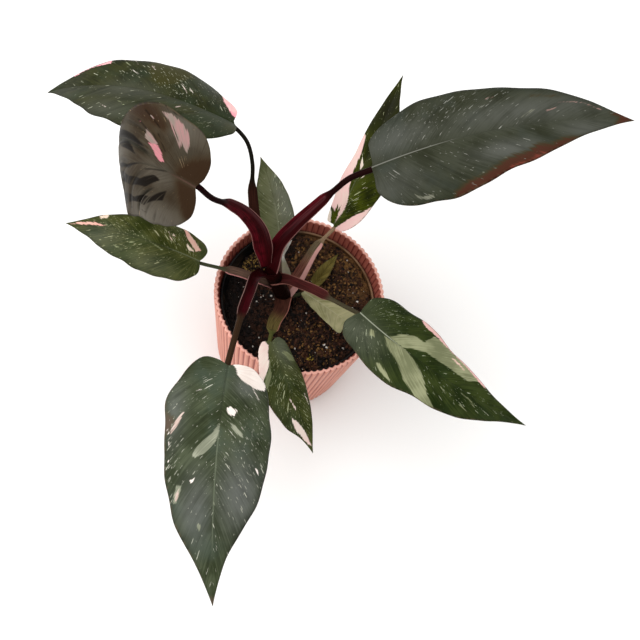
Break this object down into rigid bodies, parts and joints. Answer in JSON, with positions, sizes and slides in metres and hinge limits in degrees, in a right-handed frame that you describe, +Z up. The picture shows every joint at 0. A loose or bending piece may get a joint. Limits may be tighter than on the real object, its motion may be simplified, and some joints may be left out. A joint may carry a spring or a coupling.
{
  "type": "potted variegated philodendron",
  "caption": "Young climbing aroid with dark, pink-splashed heart-shaped leaves on maroon stalks, in a nursery pot of soil inside a fluted coral cup pot.",
  "frame": {"origin": "centre of the cup pot's flat underside", "axes": "+Z up along the pot's axis, -Y towards the side the plant is usually seen from, +X to that viewer's right"},
  "size_m": [0.409, 0.3872, 0.2772],
  "materials": {
    "cup_pot": "matte coral",
    "nursery_pot": "black moulded plastic",
    "soil": "loose peat, bark and perlite",
    "stem": "dark woody green",
    "bract": "dry papery",
    "leaf_slate": "satin, dark slate green with pink margin",
    "leaf_green": "satin green splashed cream and pink",
    "leaf_bronze": "glossy bronze with pink streaks",
    "leaf_cream": "satin cream green",
    "leaf_olive": "satin olive",
    "petiole_maroon": "glossy maroon",
    "petiole_olive": "satin olive brown with pink edges"
  },
  "bodies": {
    "root": {"cup_pot": "cup_pot", "nursery_pot": "nursery_pot", "soil": "soil", "stem": "stem", "bract": "bract", "blade_right": "leaf_slate", "petiole_right": "petiole_maroon", "blade_new": "leaf_bronze", "petiole_new": "petiole_maroon", "blade_back_left": "leaf_green", "petiole_back_left": "petiole_maroon", "blade_left": "leaf_green", "petiole_left": "petiole_olive", "blade_centre": "leaf_slate", "petiole_centre": "petiole_olive", "blade_back": "leaf_green", "petiole_back": "petiole_olive", "blade_front_right": "leaf_green", "petiole_front_right": "petiole_maroon", "blade_small": "leaf_green", "petiole_small": "petiole_olive", "blade_front": "leaf_slate", "petiole_front": "petiole_maroon", "blade_trimmed": "leaf_cream", "petiole_trimmed": "petiole_olive", "blade_sprout": "leaf_olive", "petiole_sprout": "petiole_olive"}
  },
  "joints": []
}
